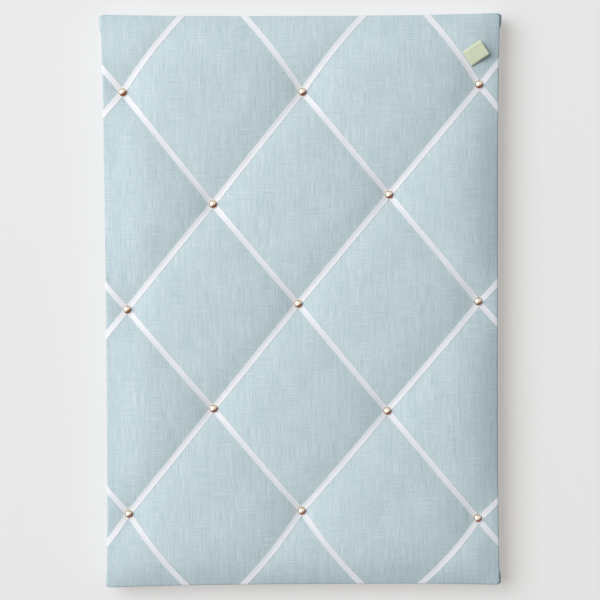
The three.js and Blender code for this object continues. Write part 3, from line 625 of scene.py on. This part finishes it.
def corner_fold(name, right, up, thickness, reach, blunt):
    """A fold of spare cloth pressed flat against the side at one corner, swollen in the middle.

    It stands off by its thickness times the root of 1 - e^6, for e from -1 to 1 across each of its two
    directions, with a lower power towards an end that fades out. It reaches further at the back."""
    e = -np.cos(np.linspace(0, math.pi, fold_steps))[:, None]
    depth = np.linspace(-1, 1, fold_rails)[None, :]
    fold_back, fold_front = cover_back + back_roll, side_top - fold_setback
    out = (fold_front + fold_back) / 2 + depth * (fold_front - fold_back) / 2
    length = reach + fold_spread * (1 - depth) / 2
    z = up * (corner_height - fold_start - length * (1 + e) / 2)
    fading = np.where(e > 0, np.abs(e) ** blunt, e**fold_flatness)
    swell = thickness * np.sqrt((1 - fading) * (1 - depth**fold_flatness))
    outer = standing(right * (side_edge(z) + fold_gap + swell), out, z)
    inner = standing(right * (side_edge(z) + fold_gap / 2), out, z)
    if right * up > 0:
        outer, inner = outer[:, ::-1], inner[:, ::-1]
    return strip_piece(name, outer, inner, linen, "board", "linen")


cover_stations = roll_stations(10) + rear_path(turn_in, 3)
points, quads, flat = rounded_sheet(cover_columns, cover_rows, cover_stations, front_level)
cover = piece("linen_sheet", points, [quads], linen, "board", flat)
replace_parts(cover, "linen_cover")
for corner, right, up, thickness, reach, blunt in (("top_left", -1, 1, 2.2 * mm, 14 * mm, 2.0),
                                                   ("top_right", 1, 1, 2.2 * mm, 10 * mm, 6.0),
                                                   ("bottom_left", -1, -1, 1.1 * mm, 12 * mm, 2.0),
                                                   ("bottom_right", 1, -1, 1.9 * mm, 10 * mm, 6.0)):
    corner_fold(f"corner_fold_{corner}", right, up, thickness, reach, blunt)

# Ribbons
# Ten lengths of 6 mm white satin ribbon, five each way, the rising ones over the falling ones.
# They lie in the beds they press into the padding and are folded round the edges onto the back.
ribbon_width = 6 * mm
ribbon_thickness = 0.2 * mm
ribbon_lift = 0.06 * mm
ribbon_turn_in = 22 * mm
ribbon_slant = 0.25
ribbon_lap = 0.22 * mm
ribbon_slip = 2 * mm
slip_run = 0.2
lap_reach = 5 * mm
rail_shares = np.array([-0.5, -0.47, -0.3, 0, 0.3, 0.47, 0.5])
rail_count = len(rail_shares)
rail_samples = 3000
roll_samples = 9
past_edge = 1 * mm
front_steps_per_metre = 400

satin, tree, shader = finish("satin", {"Roughness": 0.45, "Specular IOR Level": 0.5, "Anisotropic": 0.8,
                                       "Anisotropic Rotation": 0.25, "Sheen Weight": 0.1})
lay = add_node(tree, "UVMap", uv_map="lay").outputs[0]
lines = stretched_noise(tree, lay, (60, 2600, 1), 2.0)
paint(tree, shader, "Base Color", ramp(tree, lines, [(0.3, srgb(217, 218, 224)), (0.7, srgb(235, 236, 242))]))
relief(tree, shader, lines, 0.15, 0.1 * mm)
tangent = add_node(tree, "Tangent", direction_type="UV_MAP", uv_map="lay").outputs[0]
paint(tree, shader, "Tangent", tangent)


def surface_normals(grid):
    """Unit normals of a (steps, rails) grid of points, from the cross product of its two directions."""
    normal = np.cross(np.gradient(grid, axis=0), np.gradient(grid, axis=1))
    return normal / np.linalg.norm(normal, axis=-1, keepdims=True)


def edge_inset(x, z):
    """How far inside the outline a place is."""
    return np.minimum(side_edge(z) - np.abs(x), end_edge(x) - np.abs(z))


def edge_place(side, sign, along, inset, level):
    """A point at an inset from one edge: the left or right if side is true, otherwise the top or bottom."""
    if side:
        return standing(sign * (side_edge(along) - inset), level, along)
    return standing(along, level, sign * (end_edge(along) - inset))


def ribbon_plan(line, off, t, last, slip):
    """Places across and up of one rail of a ribbon at parameters t, at a distance off to its side.

    At its last nail the ribbon has slipped sideways, by less and less to the nail before and the edge."""
    place = lattice_place(*line(t))
    way = np.gradient(place, axis=0)
    way = way / np.linalg.norm(way, axis=-1, keepdims=True)
    beside = np.stack([way[:, 1], -way[:, 0]], -1)
    aside = slip * np.interp(t, [last - 1, last, last + slip_run], [0, 1, 0])
    return place + beside * (off + aside)[:, None]


def ribbon_rail(line, off, first, last, slip, steps):
    """One rail of a ribbon over the front: its points on the linen, and the parameter of each.

    Over the front its parameter is spaced evenly, and within the roll at both ends by the roll's angle."""
    t = np.linspace(first - 1, last + 1, rail_samples)
    place = ribbon_plan(line, off, t, last, slip)
    inset = edge_inset(place[:, 0], place[:, 1])
    middle = len(t) // 2
    roll_insets = edge_roll * (1 - np.sin(np.linspace(math.pi / 2, 0, roll_samples)))
    ends = []
    for half in (slice(middle, None, -1), slice(middle, None)):
        far, depth = t[half], inset[half]
        stop = np.argmax(depth < -past_edge)
        start = np.argmax(depth < 2 * edge_roll) if depth[0] > 2 * edge_roll else 0
        ends.append(np.interp(roll_insets, depth[start:stop][::-1], far[start:stop][::-1]))
    spread = np.linspace(ends[0][-1], ends[1][-1], steps)
    stations = np.concatenate([ends[0][:-1], spread, ends[1][-2::-1]])
    x, z = np.interp(stations, t, place[:, 0]), np.interp(stations, t, place[:, 1])
    depth = np.maximum(edge_inset(x, z), 0)
    return standing(x, front_level(x, z, depth), z), stations


def ribbon_tail(exits, heading, side, sign):
    """The rails of one ribbon end from the side to the back.

    From each rail's exit they run straight on with a slant, and come square to the edge on the way."""
    middle = exits.mean()
    across = rail_shares * ribbon_width * math.hypot(1, ribbon_slant)
    across = across * np.sign(exits[-1] - exits[0])
    side_run = side_top - cover_back - back_roll
    path = np.array(rear_path(ribbon_turn_in, 4))
    step = np.hypot(np.diff(path[:, 0], prepend=0), np.diff(path[:, 1], prepend=side_top))
    run = np.cumsum(step)
    ease = np.clip(run / side_run, 0, 1)[:, None]
    along = middle + (exits - middle) * (1 - ease) + across * ease + (heading * ribbon_slant * run)[:, None]
    return edge_place(side, sign, along, path[:, :1], path[:, 1:])


def ribbon(name, line, first, last, laps, slip):
    """A whole ribbon: rails across its width, from tail to tail, given a thickness.

    Where it laps over another at a nail it rises by the lap times e to the minus square of the distance."""
    ends = lattice_place(*line(np.array([first - 0.5, last + 0.5])))
    steps = int(np.linalg.norm(ends[1] - ends[0]) * front_steps_per_metre)
    offs = rail_shares * ribbon_width
    rails = [ribbon_rail(line, off, first, last, slip, steps) for off in offs]
    front = np.stack([rail[0] for rail in rails], axis=1)
    stations = np.stack([rail[1] for rail in rails], axis=1)
    tails = []
    for end, nail in ((0, first), (-1, last)):
        exits = front[end]
        centre = exits[rail_count // 2]
        side = abs(side_edge(centre[2]) - abs(centre[0])) < abs(end_edge(centre[0]) - abs(centre[2]))
        spot = lattice_place(*line(np.array([float(nail)])))[0]
        along = exits[:, 2] if side else exits[:, 0]
        heading = np.sign(along.mean() - (spot[1] if side else spot[0]))
        sign = np.sign(centre[0] if side else centre[2])
        tails.append(ribbon_tail(along, heading, side, sign))
    base = np.concatenate([tails[0][::-1], front, tails[1]])
    from_nail = np.abs(stations - np.round(stations)) * ribbon_pitch
    lap = np.zeros(base.shape[:2])
    lap[len(tails[0]):len(tails[0]) + len(front)] = laps * ribbon_lap * np.exp(-(from_nail / lap_reach) ** 2)
    normal = surface_normals(base)
    if normal[len(base) // 2, rail_count // 2, 1] > 0:
        base, lap, normal = base[:, ::-1], lap[:, ::-1], -normal[:, ::-1]
    top = base + normal * (ribbon_lift + lap + ribbon_thickness)[..., None]
    bottom = base + normal * (ribbon_lift + lap)[..., None]
    return strip_piece(name, top, bottom, satin, "board", "satin")


for line_number in range(last_line + 1):
    reach = middle_line - abs(line_number - middle_line)
    slip = ribbon_slip if line_number >= middle_line else 0
    made = ribbon(f"ribbon_up_{line_number + 1}", lambda t, b=line_number: (t, np.full_like(t, b)),
                  -reach, reach, 1, slip)
    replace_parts(made, f"ribbon_rising_{line_number + 1}")
    made = ribbon(f"ribbon_down_{line_number + 1}",
                  lambda t, a=line_number - middle_line: (np.full_like(t, a), t),
                  middle_line - reach, middle_line + reach, 0, 0)
    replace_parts(made, f"ribbon_falling_{line_number + 1}")

# Nails
# Domed upholstery nails pressed from brass sheet and polished, with a painted reflection at the rim and
# painted shade and reflection on the lower right.
# One is driven through the ribbons, linen and wadding into the board at every crossing.
nail_height = 3.2 * mm
nail_wall = 0.5 * mm
nail_shank = 0.8 * mm
nail_point = 2 * mm
nail_sides = 48
rim_share = 0.93
hollow_share = 0.82
hollow_rings = 6
dome_rings = 14
shaded_side = (0.5, 0, -0.87)

brass, tree, shader = finish("brass", {"Metallic": 1.0})
# Paler at the crown and darker, more orange towards the rim: wear, with a painted reflection at the rim.
from_crown = axes_of(tree, add_node(tree, "UVMap", uv_map="lay").outputs[0])["X"]
tarnish = stretched_noise(tree, object_place(tree), (380, 380, 380), 4.0)
wear_and_rim_reflection = math_node(tree, "ADD", from_crown, math_node(tree, "MULTIPLY", tarnish, 0.2))
brass_tones = [(0.5, srgb(249, 243, 230)), (0.95, srgb(240, 220, 186)), (1.0, srgb(222, 184, 136))]
polish_and_rim_reflection = ramp(tree, wear_and_rim_reflection, brass_tones)
# Painted shade and painted reflection: faces turned to the lower right, away from the window, are painted
# dark brown.
facing_shaded_side = along_way(tree, add_node(tree, "NewGeometry").outputs["Normal"], shaded_side)
painted_shade = graded(tree, facing_shaded_side, 0.05, 0.4, 0.0, 0.95)
paint(tree, shader, "Base Color", tinted(tree, painted_shade, polish_and_rim_reflection, srgb(140, 66, 28)))
paint(tree, shader, "Roughness", graded(tree, tarnish, 0.3, 0.7, 0.22, 0.12))


def turned_piece(name, radius, out, centre, material, body, sides):
    """A lathe-turned piece about the board's depth, from radii and distances out, pole to pole.

    The first pole is at the rear. The distance out may also differ round each turn, as (radii, sides)."""
    turn = np.linspace(0, 2 * np.pi, sides, endpoint=False)
    out = np.broadcast_to(out.reshape(len(radius), -1), (len(radius), sides))
    ring = standing(centre[0] + radius[1:-1, None] * np.cos(turn), out[1:-1],
                    centre[1] + radius[1:-1, None] * np.sin(turn))
    poles = standing(np.full(2, centre[0]), out[[0, -1], 0], np.full(2, centre[1]))
    points = np.concatenate([ring.reshape(-1, 3), poles])
    count, first = len(radius) - 2, (len(radius) - 2) * sides
    here = np.arange(sides)
    after = (here + 1) % sides
    last_ring = (count - 1) * sides
    ends = [np.stack([np.full(sides, first), after, here], -1),
            np.stack([np.full(sides, first + 1), last_ring + here, last_ring + after], -1)]
    from_axis = np.broadcast_to(radius[1:-1, None] / radius.max(), (count, sides))
    lay = np.stack([from_axis, np.broadcast_to(turn, (count, sides))], -1).reshape(-1, 2)
    lay = np.concatenate([lay, np.zeros((2, 2))])
    return piece(name, points, [grid_faces(count, sides, 0, True), *ends], material, body, lay)


def nail(number):
    """A nail: a point and shank, then a hollow and a dome, both quarter ellipses up from the rim."""
    low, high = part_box("stud_" + number)
    rim_level = -low.y - nail_height
    rim = rim_share * (high.x - low.x) / 2
    hollow = np.linspace(hollow_share, 0, hollow_rings) * math.pi / 2
    dome = np.linspace(0, 1, dome_rings)[:-1] * math.pi / 2
    radius = np.concatenate([[0, nail_shank], (rim - nail_wall) * np.cos(hollow), rim * np.cos(dome), [0]])
    out = np.concatenate([[-high.y, -high.y + nail_point],
                          rim_level + (nail_height - nail_wall) * np.sin(hollow),
                          rim_level + nail_height * np.sin(dome), [rim_level + nail_height]])
    centre = ((low.x + high.x) / 2, (low.z + high.z) / 2)
    return turned_piece("nail_" + number, radius, out, centre, brass, "board", nail_sides)


for number in nail_names:
    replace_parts(nail(number), "stud_" + number)

# Label tag
# A short cream cotton tape, folded double and left bare, its raw ends sewn in beside a ribbon.
# The fold is the free end and stands a little off the linen.
tag_width = 18 * mm
tag_length = 22.5 * mm
tag_shift = 1.5 * mm
tag_tape = 0.3 * mm
tag_lift = math.radians(12)
tag_rails = 9
leaf_gap = 0.17 * mm
leaf_steps = 24
bend_allowance = 0.65 * mm
bend_steps = 13

cotton, tree, shader = finish("cotton", {"Roughness": 0.9, "Specular IOR Level": 0.2})
lay = add_node(tree, "UVMap", uv_map="lay").outputs[0]
ribs = stretched_noise(tree, lay, (1500, 200, 1), 2.0)
paint(tree, shader, "Base Color", ramp(tree, ribs, [(0.3, srgb(197, 203, 174)), (0.7, srgb(217, 222, 197))]))
relief(tree, shader, ribs, 0.3, 0.15 * mm)

hinge = next(joint for joint in frame["joints"] if joint["name"] == "tag_lift")
tag_along = np.array(hinge["axis"]) / np.linalg.norm(hinge["axis"])
tag_foot = np.array(hinge["pos_m"]) + tag_shift * tag_along
tag_out = np.array([-tag_along[2], 0, tag_along[0]])
tag_out = tag_out / np.linalg.norm(tag_out)
tag_up = np.cross(tag_along, tag_out)
tag_across = np.linspace(-0.5, 0.5, tag_rails) * tag_width
bend = np.linspace(-math.pi / 2, math.pi / 2, bend_steps)
leaf = np.linspace(0, tag_length - bend_allowance, leaf_steps)
leaf_level = np.full(leaf_steps - 1, leaf_gap)
path_out = np.concatenate([leaf[:-1], leaf[-1] + leaf_gap * np.cos(bend), leaf[-2::-1]])
path_up = np.concatenate([-leaf_level, leaf_gap * np.sin(bend), leaf_level])
normal_out = np.gradient(path_up)
normal_up = -np.gradient(path_out)
normal_size = np.hypot(normal_out, normal_up)
normal_out, normal_up = normal_out / normal_size, normal_up / normal_size


def tag_grid(offset):
    """The tape's face at an offset from its middle, turned up by the tag's rest angle about its hinge."""
    out, up = path_out + normal_out * offset, path_up + normal_up * offset
    turned_out = out * math.cos(tag_lift) - up * math.sin(tag_lift)
    turned_up = out * math.sin(tag_lift) + up * math.cos(tag_lift)
    return (tag_foot + tag_across[None, :, None] * tag_along + turned_out[:, None, None] * tag_out
            + turned_up[:, None, None] * tag_up)


tag = strip_piece("cloth_tag", tag_grid(tag_tape / 2), tag_grid(-tag_tape / 2), cotton, "tag", "cotton")
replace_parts(tag, "label_tag")

# Staples
# Zinc-plated steel wire staples on the back, one over each ribbon end.
# Each is shot through the ribbon and the turned-in linen into the board.
steel, tree, shader = finish("zinc_steel", {"Metallic": 1.0})
scuffs = stretched_noise(tree, object_place(tree), (500, 500, 500), 5.0)
steel_tones = [(0.35, srgb(176, 178, 182)), (0.65, srgb(214, 215, 216))]
paint(tree, shader, "Base Color", ramp(tree, scuffs, steel_tones))
paint(tree, shader, "Roughness", graded(tree, scuffs, 0.3, 0.7, 0.28, 0.42))
for name in frame["nodes"]:
    if "_staple_" in name:
        dress(name, steel)

# Backing
# A stiff kraft-faced card that hides the turned-in linen, the ribbon ends and the staples.
# It lies flat on the back of the board, and the hangers' screws go through it.
card, tree, shader = finish("kraft_card", {"Roughness": 0.85, "Specular IOR Level": 0.3})
pulp = stretched_noise(tree, object_place(tree), (700, 700, 220), 6.0)
clouds = stretched_noise(tree, object_place(tree), (30, 30, 30), 3.0)
pulp = math_node(tree, "MULTIPLY", pulp, 0.6)
clouds = math_node(tree, "MULTIPLY", clouds, 0.4)
pulp = math_node(tree, "ADD", pulp, clouds)
paint(tree, shader, "Base Color", ramp(tree, pulp, [(0.35, srgb(150, 119, 86)), (0.65, srgb(178, 146, 110))]))
relief(tree, shader, pulp, 0.15, 0.2 * mm)
dress("backing", card)

# Hangers
# A steel strap curled round the pin of a bent wire D ring, one near each top corner of the back.
# Each strap is held through the backing by a pan-head screw with a cross recess.
wire_radius = 1 * mm
wire_sides = 20
ring_half_width = 8 * mm
ring_length = 12.5 * mm
ring_corner = 2.5 * mm
wire_join = 0.4 * mm
pin_clearance = 0.3 * mm
pin_steps = 6
corner_steps = 11
bow_steps = 25
strap_half_width = 5 * mm
strap_gauge = 1 * mm
strap_tail = 23 * mm
strap_curl = math.radians(295)
strap_shares = np.array([-1, -0.94, -0.5, 0, 0.5, 0.94, 1])
rounding_start = 0.06
rounding_steps = 16
flat_steps = 8
curl_steps = 48
screw_sides = 96
head_rings = 32
head_height = 1.9 * mm
shank_radius = 1.6 * mm
screw_point = 2 * mm
recess_reach = 1.9 * mm
recess_half_width = 0.45 * mm
recess_slope = 0.2 * mm
recess_depth = 1.1 * mm
recess_fade = 0.5


def hanger_strap(side):
    """A strap: two faces a gauge apart, flat from a round lower end and then curled round the ring's pin.

    The round end's half width is the sine of an angle, and the curl is an arc about the pin."""
    low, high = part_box(f"hanger_strap_{side}")
    inner_radius = wire_radius + pin_clearance
    outer_radius = inner_radius + strap_gauge
    rounding = np.linspace(rounding_start, 1, rounding_steps) * math.pi / 2
    flat_up = np.linspace(strap_half_width - strap_tail, 0, flat_steps)[1:-1]
    flat_up = np.concatenate([strap_half_width * (1 - np.cos(rounding)) - strap_tail, flat_up])
    curl = np.linspace(0, strap_curl, curl_steps) - math.pi / 2
    half_width = np.full(len(flat_up) + len(curl), strap_half_width)
    half_width[:len(rounding)] *= np.sin(rounding)
    across = (low.x + high.x) / 2 + half_width[:, None] * strap_shares
    faces = []
    for radius in (inner_radius, outer_radius):
        up = np.concatenate([flat_up, radius * np.cos(curl)])
        flat_rear = np.full(len(flat_up), outer_radius - radius)
        rear = np.concatenate([flat_rear, outer_radius + radius * np.sin(curl)])
        faces.append(standing(across, -low.y - rear[:, None], low.z + strap_tail + up[:, None]))
    return strip_piece(f"strap_{side}", *faces, steel, "board", "steel")


def hanger_ring(side):
    """A D ring: a circle carried along half a pin, a corner, a bow and the same again in reverse.

    The corners are parabolas and the bow is half an ellipse. The wire's ends meet inside the strap's curl."""
    low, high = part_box(f"hanger_ring_{side}")
    bow = ring_length - ring_corner
    pin = np.linspace(wire_join / 2, ring_half_width - ring_corner, pin_steps)[:-1]
    t = np.linspace(0, 1, corner_steps)[:-1]
    bend = np.linspace(0, math.pi / 2, bow_steps)
    x = np.concatenate([pin, ring_half_width - ring_corner * (1 - t) ** 2, ring_half_width * np.cos(bend)])
    z = np.concatenate([0 * pin, -ring_corner * t**2, -ring_corner - bow * np.sin(bend)])
    x, z = np.concatenate([x, -x[-2::-1]]), np.concatenate([z, z[-2::-1]])
    way = np.stack([np.gradient(x), np.gradient(z)])
    way = (way / np.linalg.norm(way, axis=0))[..., None]
    turn = np.linspace(0, 2 * np.pi, wire_sides, endpoint=False)
    across = (low.x + high.x) / 2 + x[:, None] + wire_radius * np.cos(turn) * way[1]
    upward = high.z - wire_radius + z[:, None] - wire_radius * np.cos(turn) * way[0]
    points = standing(across, -(low.y + high.y) / 2 - wire_radius * np.sin(turn), upward)
    end = np.arange(wire_sides)[None]
    faces = [grid_faces(len(x), wire_sides, 0, True), end[:, ::-1], end + (len(x) - 1) * wire_sides]
    return piece(f"wire_ring_{side}", points, faces, steel, f"ring_{side}")


def hanger_screw(side):
    """A screw turned from the crown of its head to its point, with a cross pressed into the head.

    The head falls from its crown by its height times 1 - the root of 1 - r^4. The cross is the nearer of
    two bars, sunk by its depth, which fades from the middle to the tips."""
    low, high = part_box(f"hanger_screw_{side}")
    centre = ((low.x + high.x) / 2, (low.z + high.z) / 2)
    head_radius = (high.x - low.x) / 2
    share = np.sin(np.linspace(0, math.pi / 2, head_rings))
    radius = np.concatenate([head_radius * share, [shank_radius, shank_radius, 0]])
    head_top = -high.y
    out = np.concatenate([head_top + head_height * (1 - np.sqrt(1 - share**4)),
                          [head_top + head_height, -low.y - screw_point, -low.y]])
    turn = np.linspace(0, 2 * np.pi, screw_sides, endpoint=False)
    across, upward = np.abs(radius[:, None] * np.cos(turn)), np.abs(radius[:, None] * np.sin(turn))
    level_bar = np.minimum(recess_reach - across, recess_half_width - upward)
    upright_bar = np.minimum(recess_reach - upward, recess_half_width - across)
    sunk = np.clip(np.maximum(level_bar, upright_bar) / recess_slope, 0, 1)
    sunk = sunk * recess_depth * (1 - recess_fade * radius / head_radius)[:, None]
    sunk[len(share):] = 0
    out = out[:, None] + sunk
    return turned_piece(f"screw_{side}", radius, out, centre, steel, "board", screw_sides)


for side in ("left", "right"):
    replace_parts(hanger_strap(side), f"hanger_strap_{side}")
    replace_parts(hanger_ring(side), f"hanger_ring_{side}")
    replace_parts(hanger_screw(side), f"hanger_screw_{side}")

low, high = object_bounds()
